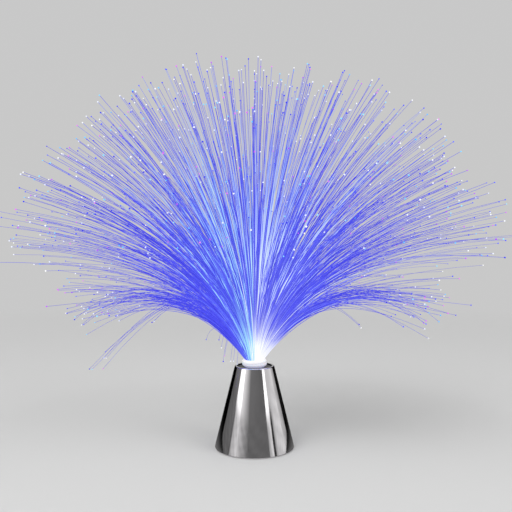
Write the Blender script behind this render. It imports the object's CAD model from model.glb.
"""Looks of a fibre optic table lamp: chrome cone, glowing collar and a dome of fine blue fibres.

Everything is in metres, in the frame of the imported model: +Z up, -Y towards the camera.
"""

import math
import random

import bmesh
import bpy
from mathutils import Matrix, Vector


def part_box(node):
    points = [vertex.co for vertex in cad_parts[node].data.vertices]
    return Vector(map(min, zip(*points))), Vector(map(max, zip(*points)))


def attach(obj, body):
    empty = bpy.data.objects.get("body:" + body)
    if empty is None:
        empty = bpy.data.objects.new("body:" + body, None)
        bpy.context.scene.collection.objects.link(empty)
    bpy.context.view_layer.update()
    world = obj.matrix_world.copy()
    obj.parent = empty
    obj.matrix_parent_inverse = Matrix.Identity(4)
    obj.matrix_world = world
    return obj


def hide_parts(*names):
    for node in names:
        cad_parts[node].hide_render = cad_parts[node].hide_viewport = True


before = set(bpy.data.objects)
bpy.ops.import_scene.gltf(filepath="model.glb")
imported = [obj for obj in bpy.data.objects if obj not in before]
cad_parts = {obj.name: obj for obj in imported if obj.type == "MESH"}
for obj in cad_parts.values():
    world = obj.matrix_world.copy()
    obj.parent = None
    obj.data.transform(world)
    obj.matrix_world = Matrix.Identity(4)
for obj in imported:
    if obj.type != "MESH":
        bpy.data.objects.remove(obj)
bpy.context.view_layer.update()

MM = 0.001

# --- View: the photograph is 512 pixels square ---
PICTURE = 512
FOCAL_PIXELS = 677
HORIZON_ROW = 234
AXIS_COLUMN = 254.5
CAMERA_DISTANCE = 0.641
CAMERA_HEIGHT = 0.203
CAMERA_NEAR = 0.02
SENSOR_MM = 36

# --- Sizes taken from the frame ---
CONE_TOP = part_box("base_shell")[1].z
MOUTH_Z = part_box("collar")[1].z
MOUTH = Vector((0, 0, MOUTH_Z))
SPRAY_LOW, SPRAY_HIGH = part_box("fiber_spray")
BUNDLE_R, BUNDLE_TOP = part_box("bonded_bundle")[1].x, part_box("bonded_bundle")[1].z

# --- Cone and collar ---
PLATING = [(0.35, (0.765, 0.745, 0.76)), (0.65, (0.85, 0.83, 0.845))]
SMOKED_BLACK = [(0.3, (0.012, 0.012, 0.014)), (0.7, (0.03, 0.03, 0.034))]
# The deck: within this radius, and less than this far under the top of the cone
DECK_R = 16.9 * MM
DECK_DROP = 3 * MM
# The light of the collar over this height, from its neck up to its lip
GLOW_HEIGHT = 7 * MM
COLLAR_GLOW = [(0.0, (0.42, 0.44, 0.72)), (0.25, (0.66, 0.66, 0.86)), (0.5, (0.86, 0.86, 0.97)),
               (0.75, (0.97, 0.98, 1.0)), (1.0, (1.0, 1.0, 1.0))]
# The crease round the collar: how far it lies under the top, how it tilts, how far from its middle it is
# full and then gone, and how much of the glow it takes
CREASE_DROP = 2.6 * MM
CREASE_TILT = -0.09
CREASE_EDGES = (0.1 * MM, 0.5 * MM)
CREASE_SHARE = 0.75
CREASE_COLOUR = (0.5, 0.49, 0.62, 1)

# --- Fibre spray: leans in degrees from upright, turns in radians round the axis ---
SEED = 14
GOLDEN_TURN = math.pi * (3 - math.sqrt(5))
DOME_FIBRES = 1000
# The bunches at right and left and the looser one at the back: their turn, their fibres and their half width
BUNCHES = [(0, 44, 0.55), (math.pi, 44, 0.55), (math.pi / 2, 34, 1.0)]
FIBRE_SIDES = 4
FIBRE_STEPS = 14
# The sides of a CAD strand. It ends in a small face, its longest edge under this, and its root section lies
# at most this far over the mouth.
STRAND_SIDES = 3
STRAND_END = 0.55 * MM
STRAND_FOOT = 0.1 * MM
# How far the roots lie under the top of the bundle, and the share of its radius that they fill
ROOT_SINK = 0.3 * MM
ROOT_SPREAD = 0.96

# Half thickness at the root, along the body and at the end, with the places along the fibre where it changes
ROOT_R = 0.19 * MM
BODY_R = 0.3 * MM
TIP_R = 0.165 * MM
BODY_START = 0.2
FADE_START = 0.4
FADE_LENGTH = 0.5
# Outer fibres, from the first of these leans to the second, get thinner: down to these shares of it along the
# body and at the end. Those that lean most do so in part. The thinning sets in between the root and
# THIN_START, and goes on over THIN_LENGTH from where the fibre starts to fade.
OUTER_THIN = 0.68
OUTER_TIP_THIN = 0.55
OUTER_LEANS = (46, 64)
MOST_LEAN = 66
MOST_LEAN_PART = 0.6
THIN_START = 0.25
THIN_LENGTH = 0.4
# The bead at a fibre's end, and the range of shares of that size
BEAD_R = 0.74 * MM
BEAD_SPREAD = (0.7, 1.0)
# What a fibre leaves free between its end bead and the walls of the CAD spray's box
BOX_GAP = 0.2 * MM

# The dome: reach of upright and of leaning fibres, the lean of its edge at the sides, in front and behind,
# and the powers by which lean and reach change from the axis outwards
REACH_TOP = 279 * MM
REACH_SIDE = 262 * MM
LEAN_SIDE = 66
LEAN_FRONT = 57
LEAN_BACK = 70
LEAN_POWER = 1.22
REACH_POWER = 3
# How broad the sides are against front and back, where the edge has its own lean
SIDE_BREADTH = 1.15
LEAN_SCATTER = 2.6
TURN_SCATTER = 0.07
# Share of its lean that a fibre has at its root, and of its reach that it keeps to this, with their spread
ROOT_LEAN = 0.4
ROOT_LEAN_SPREAD = (0.8, 1.1)
ROOT_TURN_SCATTER = 0.12
HOLD = 0.46
HOLD_SPREAD = (0.85, 1.1)
# Sideways sway of a fibre, and the place along it, beyond its end, where that would come back to nothing
DOME_SWAY = 4 * MM
SWAY_END = 1.3
# Directions that the fibres of the dome are drawn to, all but those of its edge
CLUMPS = 90
CLUMP_LEAN = 1.05
CLUMP_LEAN_SPREAD = (0.9, 1.08)
CLUMP_TURNS = 0.4
CLUMP_PULL = 0.34
CLUMP_PULL_SPREAD = (0.3, 1)
CLUMP_EDGE = 0.93
# Short fibres, in the core and further out: how many, and their least reach. The others lack little of it.
CORE_LEAN = 48
SHORT_CORE = (0.42, 0.52)
SHORT_OUTER = (0.5, 0.62)
SHORT_MOST = 0.92
FULL_LACK = 0.1
LACK_POWER = 1.3
# Share of bright fibres in the core and at the edge, with the leans between which it changes, and the own
# numbers of the bright and of the dim ones
BRIGHT_SHARES = (0.48, 0.06)
BRIGHT_LEANS = (18, 54)
BRIGHT_NUMBERS = (0.76, 1)
DIM_NUMBERS = (0, 0.62)
# A CAD strand that leans more than this isn't followed by a fibre in a wedge at the front, of this slope
FRONT_LEAN = LEAN_FRONT + 2
FRONT_SLOPE = 1.1
# The bunches: where their fibres leave the bundle, their leans, reach and sway, and their knees: lean and
# distance from the root in mm
BUNCH_ROOTS = (0.86, 1)
BUNCH_LEANS = (64, 74)
BUNCH_LEAN_POWER = 1.1
BUNCH_REACH = 190 * MM
BUNCH_REACH_SPREAD = (0.72, 1.05)
BUNCH_SWAY = 5 * MM
BUNCH_KNEE_LEANS = (30, 38)
BUNCH_KNEE_SCATTER = 0.08
BUNCH_KNEES = (76, 104)
BUNCH_PULL = 1.2
BUNCH_NUMBERS = (0, 0.6)
# Single drooping fibres, in mm: how far to the front or back they end, the heights of their tips between
# which the rise of their knees over the mouth changes, that rise, and how far out the knees are
DROOP_ROOT = 0.96
DROOP_LEAN = 70
DROOP_DEPTH = 28
DROOP_HEIGHTS = (80, 130)
DROOP_RISES = (100, 74)
DROOP_RISE_SPREAD = (0.94, 1.06)
DROOP_KNEES = (46, 58)
DROOP_KNEE_DEPTH = 0.3
DROOP_PULL = 1.35
DROOP_NUMBERS = (0.1, 0.5)
# Short hanging fibres, in mm: how far to the front or back they end, and the rise and place of their knees
HANG_ROOT = 0.92
HANG_TURNS = 0.5
HANG_LEAN = 60
HANG_DEPTH = 8
HANG_RISES = (46, 58)
HANG_KNEE_OUT = 0.8
HANG_KNEE_DEPTH = 0.7
HANG_NUMBERS = (0, 0.4)

# Tips of the single fibres that droop at left and right: distance from the axis and height, in mm
DROOPING_TIPS = [(100, 115), (103, 114), (156, 116), (165, 104), (207, 135), (170, 132), (186, 128),
                 (138, 124), (-99, 117), (-101, 116), (-144, 89.5), (-144, 84.6), (-147, 80), (-152.5, 76),
                 (-158.6, 73.3), (-145.8, 73.3), (-170, 132), (-157, 116), (-166, 103.6), (-182, 126),
                 (-128, 121)]
# Tips of the short fibres that hang over the left of the collar
HANGING_TIPS = [(-45.7, 103), (-33.6, 103), (-31.7, 94), (-28.6, 86), (-29.8, 81.5), (-22.8, 81.5),
                (-19.7, 83.5), (-16.5, 79.6)]

# A fibre's own blue, by its own number, and the deeper blue of its outer end
FIBRE_BLUES = [(0.0, (0.032, 0.032, 0.6)), (0.35, (0.055, 0.055, 0.8)), (0.6, (0.088, 0.1, 0.92)),
               (0.78, (0.16, 0.21, 0.97)), (0.92, (0.36, 0.5, 1.0)), (1.0, (0.66, 0.86, 1.0))]
FIBRE_OUTER = (0.045, 0.04, 0.66)
# Each family of fibres: the colour of the light it carries from the root outwards, the share of that light
# close to the root, and its share further out, which the dimmer fibres hardly have
FAMILIES = {
    "fibers_white": ([(0, (1, 1, 1)), (0.3, (0.84, 0.95, 1)), (0.7, (0.45, 0.64, 1))],
                     [(0, 1), (0.09, 1), (0.17, 0.4), (0.27, 0)],
                     [(0, 1), (0.36, 1), (0.64, 0.62), (0.92, 0)]),
    "fibers_cyan": ([(0, (0.42, 0.86, 1)), (0.5, (0.38, 0.72, 1))],
                    [(0, 0.75), (0.08, 0.9), (0.18, 0.35), (0.3, 0)],
                    [(0, 1), (0.38, 0.95), (0.66, 0.55), (0.92, 0)]),
    "fibers_right": ([(0, (1, 1, 1)), (0.3, (0.7, 0.82, 1))],
                     [(0, 1), (0.07, 0.85), (0.14, 0.3), (0.22, 0)],
                     [(0, 0.9), (0.2, 0.6), (0.5, 0.25), (0.75, 0)]),
    "fibers_deep": ([(0, (0.3, 0.42, 1))],
                    [(0, 0.2), (0.1, 0.1), (0.2, 0)],
                    [(0, 0.3), (0.3, 0.25), (0.6, 0)]),
}
# Where each family leaves the bundle: up to this share of its radius, from left to right
FAMILY_EDGES = [(-0.55, "fibers_deep"), (-0.1, "fibers_cyan"), (0.5, "fibers_white"),
                (math.inf, "fibers_right")]
FAMILY_BLUR = 0.12
# The glowing ends: the share of each kind, and the colours that it runs through
BEAD_COLOURS = {
    "tips_white": (0.3, [(1.0, 1.0, 1.0), (0.66, 0.74, 1.0)]),
    "tips_blue": (0.4, [(0.015, 0.015, 0.7), (0.1, 0.14, 1.0)]),
    "tips_pink": (0.13, [(0.36, 0.04, 0.9), (0.95, 0.2, 0.8)]),
    "tips_cyan": (0.17, [(0.05, 0.45, 1.0), (0.3, 0.82, 1.0)]),
}

# --- Floor and light ---
FLOOR_R = 1.7
FLOOR_STEP = 0.1
FLOOR_HUB = 0.001
FLOOR_TONE = 0.58
FLOOR_SEGMENTS = 128
COVE_R = 0.9
COVE_STEPS = 24
WALL_TOP = 3.2
# Distances from the axis between which the lit ground gives way to its plain tone
PLAIN_GROUND = (0.35, 1.3)
WORLD_LIGHT = 0.92
# Each light: its place, the side of its square and its watts. They aim just over the collar.
LIGHTS = {"key": ((-1.1, -1.3, 2.2), 1.4, 40), "fill": ((1.5, -0.9, 1.6), 1.2, 14)}
LIGHT_AIM = (0, 0, 0.1)

# --- Cards that show only in reflections, for the chrome ---
CARD_R = 0.31
CARD_TOP = 0.6
CARD_STEPS = 8
# Levels of the lower part of a card, close enough for its streaks: their distance and number
LEVEL_STEP = 6 * MM
LEVELS = 41
# Height where the tones of a card change, and over how much
CARD_SPLIT = 0.088
CARD_BLEND = 0.03
# Streaks under that height: their depth, their waves upwards and across, and the slower waves they swell in
STREAK_DEPTH = 0.3
STREAK_WAVES = (900, 9)
STREAK_SWELL = 370
# Each strip: from and to azimuth in degrees, 0 towards the camera and + to its right, with the tone at both
# edges over CARD_SPLIT and then under it
CARDS = [
    (-180, -166, 0.5, 0.3, 0.2, 0.1),
    (-166, -149, 0.06, 0.03, 0.06, 0.03),
    (-149, -116, 0.0, 0.0, 0.0, 0.0),
    (-116, -77, 0.15, 0.19, 0.12, 0.15),
    (-77, -72, 1.0, 1.6, 0.02, 0.3),
    (-72, -51, 1.7, 1.7, 0.45, 0.75),
    (-51, -19, 0.95, 0.2, 0.62, 0.17),
    (-19, 42, 0.17, 0.12, 0.15, 0.13),
    (42, 55, 1.6, 1.7, 0.35, 0.85),
    (55, 62, 0.7, 0.6, 0.03, 0.01),
    (62, 69, 0.66, 0.62, 0.3, 0.6),
    (69, 98, 0.64, 0.84, 0.66, 0.74),
    (98, 119, 0.7, 0.34, 0.6, 0.32),
    (119, 166, 0.0, 0.0, 0.0, 0.02),
    (166, 180, 0.3, 0.5, 0.1, 0.2),
]
# The table round the chrome: distance from the axis and tone
TABLE_TONES = [(0.0385, 0.16), (0.06, 0.1), (0.1, 0.05), (0.16, 0.01), (CARD_R, 0.0)]
TABLE_LIFT = 0.3 * MM
TABLE_SEGMENTS = 96


# ---------------------------------------------------------------- helpers

def new_object(name, verts, faces, mat):
    """A smooth mesh object in the scene."""
    mesh = bpy.data.meshes.new(name)
    mesh.from_pydata([tuple(v) for v in verts], [], faces)
    mesh.validate()
    mesh.materials.append(mat)
    mesh.polygons.foreach_set("use_smooth", [True] * len(mesh.polygons))
    return add_object(name, mesh)


def add_object(name, data):
    """Puts a mesh, light or camera into the scene."""
    obj = bpy.data.objects.new(name, data)
    bpy.context.scene.collection.objects.link(obj)
    return obj


def add_attribute(obj, name, values):
    """One number for each vertex."""
    obj.data.attributes.new(name, "FLOAT", "POINT").data.foreach_set("value", values)


def around(turn, r, z):
    """The point at a turn round the axis, a distance from it and a height."""
    return (r * math.cos(turn), r * math.sin(turn), z)


def arc(x, y, r, start, end, steps):
    """Points of an arc, angles in degrees from +X."""
    turns = [math.radians(start + (end - start) * i / steps) for i in range(steps + 1)]
    return [(x + r * math.cos(t), y + r * math.sin(t)) for t in turns]


def ease(t):
    """From 0 to 1 with a soft start and end."""
    t = max(0.0, min(1.0, t))
    return t * t * (3 - 2 * t)


def lerp(a, b, t):
    """The value at t on the way from a to b."""
    return a + (b - a) * t


def between(value, low, high):
    """The eased place of a value between two others."""
    return ease((value - low) / (high - low))


# ---------------------------------------------------------------- shader nodes

def set_sockets(node, sockets):
    """Puts each constant on the socket that it is named after."""
    for key, value in sockets.items():
        node.inputs[key.replace("_", " ")].default_value = value


def feed(node, socket, value):
    """Links another node's output to a socket."""
    node.id_data.links.new(value, node.inputs[socket])


def principled(name, colour, roughness, **sockets):
    """A Principled material, its constants on its own sockets."""
    mat = bpy.data.materials.new(name)
    mat.use_nodes = True
    shader = mat.node_tree.nodes["Principled BSDF"]
    set_sockets(shader, {"Base Color": (*colour, 1), "Roughness": roughness, **sockets})
    return mat, mat.node_tree, shader


def texture(tree, kind, stretch=None, **sockets):
    """The outputs of a texture in the object's own coordinates, which may be stretched."""
    source = tree.nodes.new("ShaderNodeTexCoord").outputs["Object"]
    if stretch:
        mapping = tree.nodes.new("ShaderNodeMapping")
        set_sockets(mapping, {"Scale": stretch})
        feed(mapping, "Vector", source)
        source = mapping.outputs["Vector"]
    node = tree.nodes.new("ShaderNodeTex" + kind)
    set_sockets(node, sockets)
    feed(node, "Vector", source)
    return node.outputs


def noise(tree, scale, detail=3, stretch=None):
    """A cloudy value about 0.5."""
    return texture(tree, "Noise", stretch, Scale=scale, Detail=detail)["Fac"]


def spread(tree, value, low, high, start=0.3, end=0.7):
    """Maps the values from start to end, by default those of a noise, to the range from low to high."""
    node = tree.nodes.new("ShaderNodeMapRange")
    set_sockets(node, {"From Min": start, "From Max": end, "To Min": low, "To Max": high})
    feed(node, "Value", value)
    return node.outputs["Result"]


def ramp(tree, value, stops):
    """The colour of a value, by stops of a place and a colour."""
    node = tree.nodes.new("ShaderNodeValToRGB")
    band = node.color_ramp
    while len(band.elements) > 1:
        band.elements.remove(band.elements[-1])
    band.elements[0].position = stops[0][0]
    band.elements[0].color = (*stops[0][1], 1)
    for place, colour in stops[1:]:
        band.elements.new(place).color = (*colour, 1)
    feed(node, "Fac", value)
    return node.outputs["Color"]


def bump(tree, shader, height, distance, strength=1.0):
    """Fine relief in the surface's normals."""
    node = tree.nodes.new("ShaderNodeBump")
    set_sockets(node, {"Strength": strength, "Distance": distance})
    feed(node, "Height", height)
    feed(shader, "Normal", node.outputs["Normal"])


def calc(tree, operation, *values):
    """A Math node: each value is a number or another node's output."""
    node = tree.nodes.new("ShaderNodeMath")
    node.operation = operation
    for socket, value in zip(node.inputs, values):
        if isinstance(value, (int, float)):
            socket.default_value = value
        else:
            tree.links.new(value, socket)
    return node.outputs[0]


def mix_colour(tree, share, first, second):
    """A Mix node from first to second: each is a colour or another node's output."""
    node = tree.nodes.new("ShaderNodeMix")
    node.data_type = "RGBA"
    sockets = {socket.identifier: socket for socket in node.inputs}
    tree.links.new(share, sockets["Factor_Float"])
    for key, value in (("A_Color", first), ("B_Color", second)):
        if isinstance(value, tuple):
            sockets[key].default_value = value
        else:
            tree.links.new(value, sockets[key])
    return next(socket for socket in node.outputs if socket.identifier == "Result_Color")


def position(tree):
    """The x, y and z of the surface in the object's frame."""
    coords = tree.nodes.new("ShaderNodeTexCoord")
    split = tree.nodes.new("ShaderNodeSeparateXYZ")
    feed(split, "Vector", coords.outputs["Object"])
    return split.outputs


def from_axis(tree, x, y):
    """The distance from the axis."""
    squares = [calc(tree, "MULTIPLY", value, value) for value in (x, y)]
    return calc(tree, "SQRT", calc(tree, "ADD", *squares))


def share_of_height(tree, node):
    """The height of the surface as a share of a CAD node's."""
    low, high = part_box(node)
    return spread(tree, position(tree)[2], 0, 1, low.z, high.z)


def attribute(tree, name):
    """The number that a vertex has under a name."""
    node = tree.nodes.new("ShaderNodeAttribute")
    node.attribute_name = name
    return node.outputs["Fac"]


# ---------------------------------------------------------------- materials

def moulded(name, colour, lighter, roughness, grain=2600, **sockets):
    """Moulded plastic: spark texture, faint colour change and uneven gloss."""
    mat, tree, shader = principled(name, colour, roughness, **sockets)
    fine = noise(tree, grain, 2)
    broad = noise(tree, 60, 4)
    feed(shader, "Base Color", ramp(tree, broad, [(0.3, colour), (0.7, lighter)]))
    feed(shader, "Roughness", spread(tree, fine, roughness - 0.08, roughness + 0.1))
    bump(tree, shader, fine, 0.02 * MM)
    return mat


def metal(name, colour, roughness, brushed=False):
    """Bare or plated metal with rolling marks or fine scratches."""
    mat, tree, shader = principled(name, colour, roughness, Metallic=1.0)
    marks = noise(tree, 900, 3, stretch=(1, 12, 1) if brushed else None)
    dark = tuple(c * 0.86 for c in colour)
    tint = ramp(tree, noise(tree, 120, 3), [(0.3, dark), (0.7, colour)])
    feed(shader, "Base Color", tint)
    feed(shader, "Roughness", spread(tree, marks, roughness * 0.7, roughness * 1.4))
    bump(tree, shader, marks, 0.004 * MM)
    return mat


def chrome_material():
    """Chrome plating with a faint waviness and fine wipe marks, and a sunk deck in smoked black."""
    mat, tree, shader = principled("chrome_plating", (0.8, 0.785, 0.8), 0.08, Metallic=1.0)
    haze = noise(tree, 70, 5, stretch=(1, 1, 0.35))
    marks = noise(tree, 1500, 2, stretch=(1, 1, 0.08))
    gloss = spread(tree, haze, 0.05, 0.11)
    wave = calc(tree, "MULTIPLY_ADD", marks, 0.04, noise(tree, 22, 2))
    bump(tree, shader, wave, 0.1 * MM, 0.5)
    x, y, z = position(tree)
    inside = calc(tree, "LESS_THAN", from_axis(tree, x, y), DECK_R)
    deck = calc(tree, "MULTIPLY", inside, calc(tree, "GREATER_THAN", z, CONE_TOP - DECK_DROP))
    tint = mix_colour(tree, deck, ramp(tree, haze, PLATING), ramp(tree, haze, SMOKED_BLACK))
    feed(shader, "Base Color", tint)
    feed(shader, "Roughness", calc(tree, "MULTIPLY_ADD", deck, 0.2, gloss))
    return mat


def collar_material():
    """Milky plastic lit from inside: white at the lip, lilac lower down, with a faint crease round it."""
    mat, tree, shader = principled(
        "collar_glow", (0.5, 0.51, 0.55), 0.3, Emission_Strength=0.56, Subsurface_Weight=0.3,
        Subsurface_Scale=2 * MM, Coat_Weight=0.15)
    x, _, z = position(tree)
    glow = ramp(tree, spread(tree, z, 0, 1, MOUTH_Z - GLOW_HEIGHT, MOUTH_Z), COLLAR_GLOW)
    cloud = noise(tree, 260, 3)
    tilted = calc(tree, "MULTIPLY_ADD", x, CREASE_TILT, calc(tree, "MULTIPLY_ADD", cloud, 0.5 * MM, z))
    off = calc(tree, "ABSOLUTE", calc(tree, "SUBTRACT", tilted, MOUTH_Z - CREASE_DROP))
    crease = spread(tree, off, 1, 0, *CREASE_EDGES)
    tint = mix_colour(tree, calc(tree, "MULTIPLY", crease, CREASE_SHARE), glow, CREASE_COLOUR)
    feed(shader, "Emission Color", tint)
    feed(shader, "Roughness", spread(tree, cloud, 0.24, 0.38))
    bump(tree, shader, calc(tree, "MULTIPLY_ADD", crease, -1.5, cloud), 0.05 * MM, 0.6)
    return mat


def fibre_material(name, light, near, far):
    """Clear acrylic fibre full of light: its family's light at the root gives way to its own blue."""
    mat, tree, shader = principled(
        name, (0.02, 0.022, 0.12), 0.3, Emission_Strength=1.0, Specular_IOR_Level=0.2)
    along, own = attribute(tree, "along"), attribute(tree, "own")
    outer = spread(tree, along, 0, 0.6, 0.4, 1)
    blue = mix_colour(tree, outer, ramp(tree, own, FIBRE_BLUES), (*FIBRE_OUTER, 1))
    near, far = (ramp(tree, along, [(t, (w, w, w)) for t, w in stops]) for stops in (near, far))
    brighter = spread(tree, own, 0.06, 1, 0.5, 0.9)
    share = calc(tree, "MAXIMUM", near, calc(tree, "MULTIPLY", far, brighter))
    feed(shader, "Emission Color", mix_colour(tree, share, blue, ramp(tree, along, light)))
    feed(shader, "Roughness", spread(tree, noise(tree, 400, 2), 0.22, 0.4))
    return mat


def bead_material(name, colours):
    """Cut fibre ends: each glows in one of a few close colours."""
    mat, tree, shader = principled(name, [c * 0.2 for c in colours[0]], 0.2, Emission_Strength=1.0)
    glow = ramp(tree, attribute(tree, "own"), list(enumerate(colours)))
    feed(shader, "Emission Color", glow)
    feed(shader, "Roughness", spread(tree, noise(tree, 900, 2), 0.12, 0.3))
    return mat


def bonded_material():
    """The glued bundle: a honeycomb of round fibre ends in clear resin."""
    mat, tree, shader = principled(
        "bonded_ends", (0.5, 0.62, 0.95), 0.12, Emission_Strength=0.5, Coat_Weight=0.5)
    cells = texture(tree, "Voronoi", (1, 1, 0.02), Scale=1700)["Distance"]
    glow = ramp(tree, cells, [(0.0, (0.85, 0.93, 1.0)), (0.45, (0.4, 0.55, 1.0)), (0.75, (0.06, 0.08, 0.4))])
    feed(shader, "Emission Color", glow)
    feed(shader, "Base Color", glow)
    bump(tree, shader, cells, 0.03 * MM, 0.5)
    return mat


def board_material():
    """Green solder mask over copper tracks."""
    mat, tree, shader = principled("solder_mask", (0.02, 0.14, 0.05), 0.3, Coat_Weight=0.4)
    tracks = texture(tree, "Brick", Scale=330, Mortar_Size=0.03, Color1=(0.015, 0.12, 0.045, 1),
                     Color2=(0.02, 0.16, 0.06, 1), Mortar=(0.05, 0.27, 0.09, 1))
    feed(shader, "Base Color", tracks["Color"])
    feed(shader, "Roughness", spread(tree, noise(tree, 500, 2), 0.22, 0.4))
    bump(tree, shader, tracks["Fac"], 0.02 * MM, 0.4)
    return mat


def sleeve_material():
    """The cells' printed sleeves: a copper-coloured band round the top of a dark body, with no lettering."""
    mat, tree, shader = principled("cell_sleeve", (0.02, 0.02, 0.022), 0.25, Coat_Weight=0.3)
    bands = ramp(tree, share_of_height(tree, "battery_1"), [
        (0.0, (0.02, 0.02, 0.022)), (0.7, (0.025, 0.025, 0.027)), (0.72, (0.45, 0.2, 0.08)),
        (0.96, (0.5, 0.23, 0.1)), (0.975, (0.6, 0.6, 0.6))])
    feed(shader, "Base Color", bands)
    feed(shader, "Roughness", spread(tree, noise(tree, 180, 3), 0.18, 0.34))
    return mat


def led_material(name, tint, glow):
    """Clear tinted epoxy, brighter towards its domed end."""
    mat, tree, shader = principled(name, tint, 0.12, Emission_Strength=0.9, Coat_Weight=0.3)
    dim = tuple(c * 0.3 for c in glow)
    light = ramp(tree, share_of_height(tree, "led_1"), [(0.2, (0.0, 0.0, 0.0)), (0.3, dim), (0.95, glow)])
    feed(shader, "Emission Color", light)
    feed(shader, "Roughness", spread(tree, noise(tree, 500, 2), 0.08, 0.18))
    return mat


def finish_nodes(mat, *nodes):
    """Gives CAD nodes that are shown as they are their finish."""
    for node in nodes:
        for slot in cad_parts[node].material_slots:
            slot.material = mat


def dress_nodes():
    """The finishes of all the CAD nodes but the spray, which the scene's own fibres replace."""
    finish_nodes(chrome_material(), "base_shell")
    finish_nodes(collar_material(), "collar")
    finish_nodes(bonded_material(), "bonded_bundle")
    finish_nodes(moulded("white_cup", (0.78, 0.78, 0.78), (0.86, 0.86, 0.86), 0.5), "light_cup")
    finish_nodes(moulded("black_moulding", (0.018, 0.018, 0.02), (0.03, 0.03, 0.033), 0.5),
                 "base_plate", "battery_housing", "cell_tubes")
    finish_nodes(moulded("door_moulding", (0.022, 0.022, 0.024), (0.035, 0.035, 0.038), 0.46, grain=2000),
                 "battery_door")
    finish_nodes(sleeve_material(), "battery_1", "battery_2", "battery_3")
    finish_nodes(metal("zinc_plate", (0.62, 0.61, 0.58), 0.32), "door_screws", "base_screws", "board_screws")
    finish_nodes(metal("nickel_sheet", (0.7, 0.68, 0.62), 0.28, brushed=True),
                 "top_contact", "top_bridge", "door_bridge", "door_contact", "return_strip",
                 "spring_1", "spring_2", "spring_3")
    finish_nodes(metal("tinned_sheet", (0.66, 0.66, 0.67), 0.35, brushed=True), "switch_frame")
    finish_nodes(moulded("phenolic_board", (0.16, 0.075, 0.03), (0.22, 0.1, 0.04), 0.55, grain=1500),
                 "switch_pins")
    finish_nodes(moulded("knob_moulding", (0.012, 0.012, 0.012), (0.02, 0.02, 0.02), 0.35, grain=3000),
                 "switch_knob")
    finish_nodes(board_material(), "led_board")
    finish_nodes(led_material("led_blue_epoxy", (0.3, 0.4, 0.95), (0.15, 0.25, 1.0)), "led_1", "led_3")
    finish_nodes(led_material("led_white_epoxy", (0.8, 0.88, 1.0), (0.8, 0.9, 1.0)), "led_2", "led_4")
    finish_nodes(moulded("chip_epoxy", (0.01, 0.01, 0.011), (0.02, 0.02, 0.021), 0.6, grain=3500),
                 "driver_chip")
    finish_nodes(moulded("resistor_glaze", (0.02, 0.02, 0.024), (0.05, 0.05, 0.055), 0.35, grain=3000),
                 "resistors")
    finish_nodes(moulded("red_insulation", (0.45, 0.012, 0.012), (0.6, 0.02, 0.02), 0.32, grain=1200),
                 "wire_red")
    finish_nodes(moulded("black_insulation", (0.012, 0.012, 0.013), (0.02, 0.02, 0.021), 0.32, grain=1200),
                 "wire_black", "wire_return")


# ---------------------------------------------------------------- fibres

def edge_lean(turn):
    """How far the outermost fibres of the dome lean, by their turn round the axis: least in front."""
    deep = LEAN_FRONT if math.sin(turn) < 0 else LEAN_BACK
    return lerp(deep, LEAN_SIDE, ease(SIDE_BREADTH * math.cos(turn) ** 2))


def direction(lean, turn):
    """The unit vector that leans so far from upright, at a turn round the axis."""
    lean = math.radians(lean)
    return Vector(around(turn, math.sin(lean), math.cos(lean)))


def lean_of(aim):
    """How far a unit vector leans from upright."""
    return math.degrees(math.acos(aim.z))


def curve_points(start, knee, end, sway=0, pull=1):
    """A conic curve, drawn towards its knee by pull, with a sideways sway that is nothing at the root."""
    across = (end - start).cross(Vector((0, 0, 1)))
    across = across.normalized() * sway if across.length > 0 else across
    points = []
    for i in range(FIBRE_STEPS + 1):
        t = i / FIBRE_STEPS
        a, b, c = (1 - t) ** 2, 2 * pull * t * (1 - t), t * t
        points.append((start * a + knee * b + end * c) / (a + b + c) + across * t * t * (SWAY_END - t))
    return points


def root_place(share, turn):
    """Where a fibre leaves the bundle, at a share of the way out to its edge."""
    return Vector(around(turn, BUNDLE_R * ROOT_SPREAD * share, BUNDLE_TOP - ROOT_SINK))


def uneven(rng, lean):
    """A fibre's share of its full reach: some are short, and more of the leaning ones."""
    short, least = SHORT_CORE if lean < CORE_LEAN else SHORT_OUTER
    if rng.random() < short:
        return rng.uniform(least, SHORT_MOST)
    return 1 - FULL_LACK * rng.random() ** LACK_POWER


def own_number(rng, lean):
    """A fibre's own number: near 1 for the bright ones, about half in the core and few at the edge."""
    bright = rng.random() < lerp(*BRIGHT_SHARES, between(lean, *BRIGHT_LEANS))
    return rng.uniform(*BRIGHT_NUMBERS if bright else DIM_NUMBERS)


# Each kind of fibre below gives its points, its root, its own number and its lean.

def dome_fibre(rng, clumps, i):
    """A fibre of the dome: the further out its root, the more it leans."""
    share = math.sqrt((i + 0.5) / DOME_FIBRES)
    turn = i * GOLDEN_TURN
    root = root_place(share, turn)
    lean = edge_lean(turn) * share ** LEAN_POWER + rng.gauss(0, LEAN_SCATTER)
    aim = direction(lean, turn + rng.gauss(0, TURN_SCATTER))
    if share < CLUMP_EDGE:
        nearest = max(clumps, key=lambda clump: clump.dot(aim))
        aim = aim.lerp(nearest, CLUMP_PULL * rng.uniform(*CLUMP_PULL_SPREAD)).normalized()
    lean, turn = lean_of(aim), math.atan2(aim.y, aim.x)
    reach = lerp(REACH_TOP, REACH_SIDE, min(1, lean / LEAN_SIDE) ** REACH_POWER) * uneven(rng, lean)
    root_lean = ROOT_LEAN * lean * rng.uniform(*ROOT_LEAN_SPREAD)
    leave = direction(root_lean, turn + rng.gauss(0, ROOT_TURN_SCATTER))
    knee = root + leave * HOLD * reach * rng.uniform(*HOLD_SPREAD)
    own = own_number(rng, lean)
    return curve_points(root, knee, MOUTH + aim * reach, rng.gauss(0, DOME_SWAY)), root, own, lean


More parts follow.
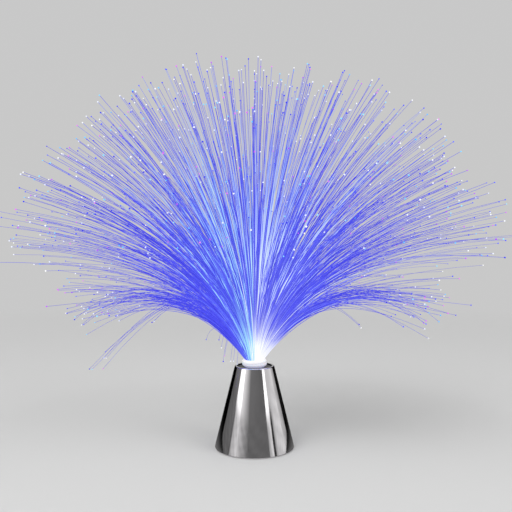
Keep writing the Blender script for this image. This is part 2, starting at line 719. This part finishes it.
def bunch_fibre(rng, turn, half_width):
    """A fibre of the deep blue bunches, which stand up from the collar and then reach far out."""
    turn += rng.uniform(-half_width, half_width)
    root = root_place(rng.uniform(*BUNCH_ROOTS), turn)
    lean = lerp(*BUNCH_LEANS, rng.random() ** BUNCH_LEAN_POWER)
    reach = BUNCH_REACH * rng.uniform(*BUNCH_REACH_SPREAD)
    leave = direction(rng.uniform(*BUNCH_KNEE_LEANS), turn + rng.gauss(0, BUNCH_KNEE_SCATTER))
    knee = root + leave * rng.uniform(*BUNCH_KNEES) * MM
    end = MOUTH + direction(lean, turn) * reach
    points = curve_points(root, knee, end, rng.gauss(0, BUNCH_SWAY), BUNCH_PULL)
    return points, root, rng.uniform(*BUNCH_NUMBERS), lean


def drooping_fibre(rng, x, z):
    """A single fibre that bends over at left or right and runs out low, to a tip given in mm."""
    end = Vector((x, rng.uniform(-DROOP_DEPTH, DROOP_DEPTH), z)) * MM
    root = root_place(DROOP_ROOT, math.atan2(end.y, end.x))
    rise = lerp(*DROOP_RISES, between(z, *DROOP_HEIGHTS)) * rng.uniform(*DROOP_RISE_SPREAD) * MM
    out = math.copysign(rng.uniform(*DROOP_KNEES), x) * MM
    points = curve_points(root, Vector((out, end.y * DROOP_KNEE_DEPTH, MOUTH_Z + rise)), end, 0, DROOP_PULL)
    return points, root, rng.uniform(*DROOP_NUMBERS), DROOP_LEAN


def hanging_fibre(rng, x, z):
    """A short fibre that bends over the left of the collar, to a tip given in mm."""
    end = Vector((x, rng.uniform(-HANG_DEPTH, HANG_DEPTH), z)) * MM
    root = root_place(HANG_ROOT, math.pi + rng.uniform(-HANG_TURNS, HANG_TURNS))
    rise = rng.uniform(*HANG_RISES) * MM
    points = curve_points(root, Vector((end.x * HANG_KNEE_OUT, end.y * HANG_KNEE_DEPTH, MOUTH_Z + rise)), end)
    return points, root, rng.uniform(*HANG_NUMBERS), HANG_LEAN


def strand_fibre(rng, middles):
    """A fibre on the curve of a CAD strand, whose sections lie at equal steps of that curve."""
    end, first, root = middles[0], middles[-2], middles[-1]
    t = 1 / (len(middles) - 1)
    knee = (first - root * (1 - t) ** 2 - end * t * t) / (2 * t * (1 - t))
    lean = lean_of((end - MOUTH).normalized())
    own = own_number(rng, lean)
    return curve_points(root - Vector((0, 0, ROOT_SINK)), knee, end), root, own, lean


def strand_rings():
    """The middles of each CAD strand's sections, walked from the small face at its tip down to its root."""
    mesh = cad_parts["fiber_spray"].data
    places = {}
    index = [places.setdefault(tuple(v.co), len(places)) for v in mesh.vertices]
    points = [Vector(p) for p in places]
    near, tips = [set() for _ in points], []
    for face in mesh.polygons:
        ring = {index[i] for i in face.vertices}
        for i in ring:
            near[i] |= ring
        if max((points[a] - points[b]).length for a in ring for b in ring) < STRAND_END:
            tips.append(ring)
    for ring in tips:
        middles, seen = [], set()
        while len(ring) == STRAND_SIDES:
            seen |= ring
            middles.append(sum((points[i] for i in ring), Vector()) / STRAND_SIDES)
            if middles[-1].z < MOUTH_Z + STRAND_FOOT:
                yield middles
                break
            ring = set().union(*(near[i] for i in ring)) - seen


def leans_to_front(path):
    """A fibre that comes down in front of the core, where the lamp has next to none."""
    points, _, _, lean = path
    return lean > FRONT_LEAN and -points[-1].y > FRONT_SLOPE * abs(points[-1].x)


def fibre_paths():
    """All the fibres: those along the CAD strands, and the many between them."""
    rng = random.Random(SEED + 2)
    paths = [strand_fibre(rng, middles) for middles in strand_rings()]
    paths = [path for path in paths if not leans_to_front(path)]
    rng = random.Random(SEED)
    clumps = []
    for i in range(CLUMPS):
        lean = LEAN_SIDE * math.sqrt((i + 0.5) / CLUMPS) * CLUMP_LEAN * rng.uniform(*CLUMP_LEAN_SPREAD)
        clumps.append(direction(lean, i * GOLDEN_TURN + rng.uniform(-CLUMP_TURNS, CLUMP_TURNS)))
    paths += [dome_fibre(rng, clumps, i) for i in range(DOME_FIBRES)]
    for turn, count, half_width in BUNCHES:
        paths += [bunch_fibre(rng, turn, half_width) for _ in range(count)]
    paths += [drooping_fibre(rng, x, z) for x, z in DROOPING_TIPS]
    return paths + [hanging_fibre(rng, x, z) for x, z in HANGING_TIPS]


def fit_to_box(points):
    """Draws a fibre in where it would leave the box of the CAD spray at a side or the top."""
    margin = BEAD_R + BOX_GAP
    walls = [(axis, SPRAY_HIGH[axis] - margin, 1) for axis in range(3)]
    walls += [(axis, SPRAY_LOW[axis] + margin, -1) for axis in range(2)]
    worst, root = 1.0, points[0]
    for p in points:
        for axis, limit, sign in walls:
            if (p[axis] - limit) * sign > 0:
                worst = min(worst, (limit - root[axis]) / (p[axis] - root[axis]))
    return points if worst == 1.0 else [root + (p - root) * worst for p in points]


def fibre_radius(t, lean):
    """Fibres are thin at the root, where they pack together, and fade out by their ends."""
    outer = between(lean, *OUTER_LEANS) if lean < MOST_LEAN else MOST_LEAN_PART
    fade = (t - FADE_START) / FADE_LENGTH
    body = lerp(ROOT_R, BODY_R, ease(t / BODY_START)) if t < BODY_START else lerp(BODY_R, TIP_R, ease(fade))
    thin = lerp(OUTER_THIN, OUTER_TIP_THIN, ease((t - FADE_START) / THIN_LENGTH))
    return body * lerp(1, thin, outer * ease(t / THIN_START))


def tube_mesh(paths):
    """Verts, faces, and for each vertex its place along its fibre and its fibre's own number."""
    verts, faces, along, own = [], [], [], []
    for points, number, lean in paths:
        base, last = len(verts), len(points) - 1
        for i, p in enumerate(points):
            heading = (points[min(i + 1, last)] - points[max(i - 1, 0)]).normalized()
            guide = Vector((0.3, 0.2, 1)) if abs(heading.z) < 0.9 else Vector((1, 0.2, 0))
            side = heading.cross(guide).normalized()
            other = heading.cross(side)
            r = fibre_radius(i / last, lean)
            for k in range(FIBRE_SIDES):
                turn = 2 * math.pi * k / FIBRE_SIDES
                verts.append(p + (side * math.cos(turn) + other * math.sin(turn)) * r)
        along += [i / last for i in range(last + 1) for _ in range(FIBRE_SIDES)]
        own += [number] * FIBRE_SIDES * (last + 1)
        for a in range(base, base + last * FIBRE_SIDES, FIBRE_SIDES):
            for k in range(FIBRE_SIDES):
                j = (k + 1) % FIBRE_SIDES
                faces.append((a + k, a + j, a + j + FIBRE_SIDES, a + k + FIBRE_SIDES))
        faces.append(tuple(base + k for k in reversed(range(FIBRE_SIDES))))
        faces.append(tuple(base + last * FIBRE_SIDES + k for k in range(FIBRE_SIDES)))
    return verts, faces, along, own


def bead_parts():
    """Verts and faces of one small round bead."""
    bm = bmesh.new()
    bmesh.ops.create_icosphere(bm, subdivisions=1, radius=1)
    verts = [v.co.copy() for v in bm.verts]
    faces = [tuple(v.index for v in f.verts) for f in bm.faces]
    bm.free()
    return verts, faces


def bead_mesh(places):
    """Verts, faces, and for each vertex its bead's own number."""
    shape, shape_faces = bead_parts()
    verts, faces, own = [], [], []
    for place, number, size in places:
        base = len(verts)
        verts += [place + v * size for v in shape]
        faces += [tuple(base + i for i in f) for f in shape_faces]
        own += [number] * len(shape)
    return verts, faces, own


def family_of(root, rng):
    """Deep blue leaves the left of the bundle, then cyan, and white its middle and right."""
    place = root.x / BUNDLE_R + rng.gauss(0, FAMILY_BLUR)
    return next(name for edge, name in FAMILY_EDGES if place < edge)


def make_spray():
    """Fibres in four families by where they leave the bundle, and their glowing ends in four colours."""
    groups = {name: [] for name in FAMILIES}
    ends = {name: [] for name in BEAD_COLOURS}
    shares = [share for share, _ in BEAD_COLOURS.values()]
    rng = random.Random(SEED + 1)
    for points, root, number, lean in fibre_paths():
        points = fit_to_box(points)
        groups[family_of(root, rng)].append((points, number, lean))
        kind = rng.choices(list(ends), shares)[0]
        ends[kind].append((points[-1], rng.random(), BEAD_R * rng.uniform(*BEAD_SPREAD)))
    pieces = []
    for name, paths in groups.items():
        verts, faces, along, own = tube_mesh(paths)
        pieces.append(new_object(name, verts, faces, fibre_material(name + "_glow", *FAMILIES[name])))
        add_attribute(pieces[-1], "along", along)
        add_attribute(pieces[-1], "own", own)
    for name, places in ends.items():
        verts, faces, own = bead_mesh(places)
        pieces.append(new_object(name, verts, faces, bead_material(name + "_glow", BEAD_COLOURS[name][1])))
        add_attribute(pieces[-1], "own", own)
    for obj in pieces:
        obj.visible_diffuse = False
        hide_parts("fiber_spray")
        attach(obj, "wand")


# ---------------------------------------------------------------- stage, light and camera

def backdrop_material():
    """One pale grey: lit, with its shadows, near the lamp, and the plain tone itself far from it."""
    tone = (FLOOR_TONE,) * 3
    mat, tree, shader = principled("backdrop", tone, 0.8, Specular_IOR_Level=0.1)
    grain = ramp(tree, noise(tree, 900, 2), [(0.3, tuple(c * 0.985 for c in tone)), (0.7, tone)])
    feed(shader, "Base Color", grain)
    rays = tree.nodes.new("ShaderNodeLightPath").outputs
    mirrored = calc(tree, "MAXIMUM", rays["Is Glossy Ray"], rays["Is Transmission Ray"])
    seen = calc(tree, "MAXIMUM", rays["Is Camera Ray"], mirrored)
    x, y, _ = position(tree)
    far = spread(tree, from_axis(tree, x, y), 0, 1, *PLAIN_GROUND)
    glow = tree.nodes.new("ShaderNodeEmission")
    set_sockets(glow, {"Color": (*tone, 1)})
    mix = tree.nodes.new("ShaderNodeMixShader")
    feed(mix, "Fac", calc(tree, "MULTIPLY", seen, far))
    feed(mix, 1, shader.outputs["BSDF"])
    feed(mix, 2, glow.outputs["Emission"])
    feed(tree.nodes["Material Output"], "Surface", mix.outputs["Shader"])
    return mat


def turned(profile, segments):
    """Verts and faces of a profile of distance and height, turned round the axis."""
    verts, faces, count = [], [], len(profile)
    for s in range(segments):
        verts += [around(2 * math.pi * s / segments, r, z) for r, z in profile]
        a, b = s * count, (s + 1) % segments * count
        faces += [(a + i, b + i, b + i + 1, a + i + 1) for i in range(count - 1)]
    return verts, faces


def make_backdrop():
    """A round floor that curves up into a wall, so that every view has the same plain ground."""
    profile = [(FLOOR_HUB, 0)] + [(FLOOR_STEP * i, 0) for i in range(1, round(FLOOR_R / FLOOR_STEP))]
    profile += arc(FLOOR_R, COVE_R, COVE_R, -90, 0, COVE_STEPS) + [(FLOOR_R + COVE_R, WALL_TOP)]
    verts, faces = turned(profile, FLOOR_SEGMENTS)
    hub, count = len(verts), len(profile)
    verts.append((0, 0, 0))
    faces += [(hub, (s + 1) % FLOOR_SEGMENTS * count, s * count) for s in range(FLOOR_SEGMENTS)]
    new_object("backdrop", verts, faces, backdrop_material())


def card_material():
    """Light of the tone that each vertex has."""
    mat = bpy.data.materials.new("card_tone")
    mat.use_nodes = True
    tree = mat.node_tree
    tree.nodes.clear()
    glow = tree.nodes.new("ShaderNodeEmission")
    out = tree.nodes.new("ShaderNodeOutputMaterial")
    feed(glow, "Strength", attribute(tree, "tone"))
    feed(out, "Surface", glow.outputs["Emission"])
    return mat


def card_tone(strip, share, height):
    """The tone of a strip at a share of its width. Under CARD_SPLIT it breaks up into soft streaks."""
    upper = lerp(strip[2], strip[3], share)
    up, across = STREAK_WAVES
    streaks = STREAK_DEPTH * math.sin(height * up + share * across) * math.sin(height * STREAK_SWELL)
    lower = lerp(strip[4], strip[5], share) * (1 + streaks)
    return lerp(lower, upper, ease((height - CARD_SPLIT) / CARD_BLEND + 0.5))


def make_card(name, verts, faces, tones, mat):
    """A card that shows only in reflections."""
    card = new_object(name, verts, faces, mat)
    add_attribute(card, "tone", tones)
    for ray in ("camera", "diffuse", "transmission", "volume_scatter", "shadow"):
        setattr(card, "visible_" + ray, False)


def make_cards():
    """Tall strips round the lamp, as a studio stands them, and a dark table top round the chrome."""
    mat = card_material()
    levels = [LEVEL_STEP * i for i in range(LEVELS)] + [CARD_TOP]
    rows = len(levels)
    for n, strip in enumerate(CARDS):
        verts, faces, tones = [], [], []
        for i in range(CARD_STEPS + 1):
            turn = math.radians(lerp(strip[0], strip[1], i / CARD_STEPS) - 90)
            verts += [around(turn, CARD_R, z) for z in levels]
            tones += [card_tone(strip, i / CARD_STEPS, z) for z in levels]
        for i in range(CARD_STEPS):
            faces += [(a, a + rows, a + rows + 1, a + 1) for a in range(i * rows, (i + 1) * rows - 1)]
        make_card(f"card_{n}", verts, faces, tones, mat)
    verts, faces = turned([(r, TABLE_LIFT) for r, _ in TABLE_TONES], TABLE_SEGMENTS)
    make_card("card_table", verts, faces, [tone for _, tone in TABLE_TONES] * TABLE_SEGMENTS, mat)


def make_light():
    """A white sky, and two large lights that no mirror shows."""
    world = bpy.data.worlds.new("studio")
    bpy.context.scene.world = world
    world.use_nodes = True
    set_sockets(world.node_tree.nodes["Background"], {"Color": (1, 1, 1, 1), "Strength": WORLD_LIGHT})
    for name, (place, size, watts) in LIGHTS.items():
        data = bpy.data.lights.new(name, "AREA")
        data.shape = "SQUARE"
        data.size = size
        data.energy = watts
        obj = add_object(name, data)
        obj.location = place
        obj.rotation_euler = (Vector(LIGHT_AIM) - Vector(place)).to_track_quat("-Z", "Y").to_euler()
        obj.visible_camera = False
        obj.visible_glossy = False


def make_camera():
    """The photograph's camera: tilted to put the horizon on its row, with the lamp's axis on its column."""
    data = bpy.data.cameras.new("camera")
    data.sensor_width = SENSOR_MM
    data.lens = SENSOR_MM * FOCAL_PIXELS / PICTURE
    data.shift_x = (PICTURE / 2 - AXIS_COLUMN) / PICTURE
    data.clip_start = CAMERA_NEAR
    obj = add_object("camera", data)
    obj.location = (0, -CAMERA_DISTANCE, CAMERA_HEIGHT)
    pitch = math.atan((PICTURE / 2 - HORIZON_ROW) / FOCAL_PIXELS)
    obj.rotation_euler = (math.pi / 2 - pitch, 0, 0)
    bpy.context.scene.camera = obj


# ---------------------------------------------------------------- the scene

bpy.context.scene.view_settings.view_transform = "Standard"
make_camera()
make_light()
make_backdrop()
make_cards()
dress_nodes()
make_spray()
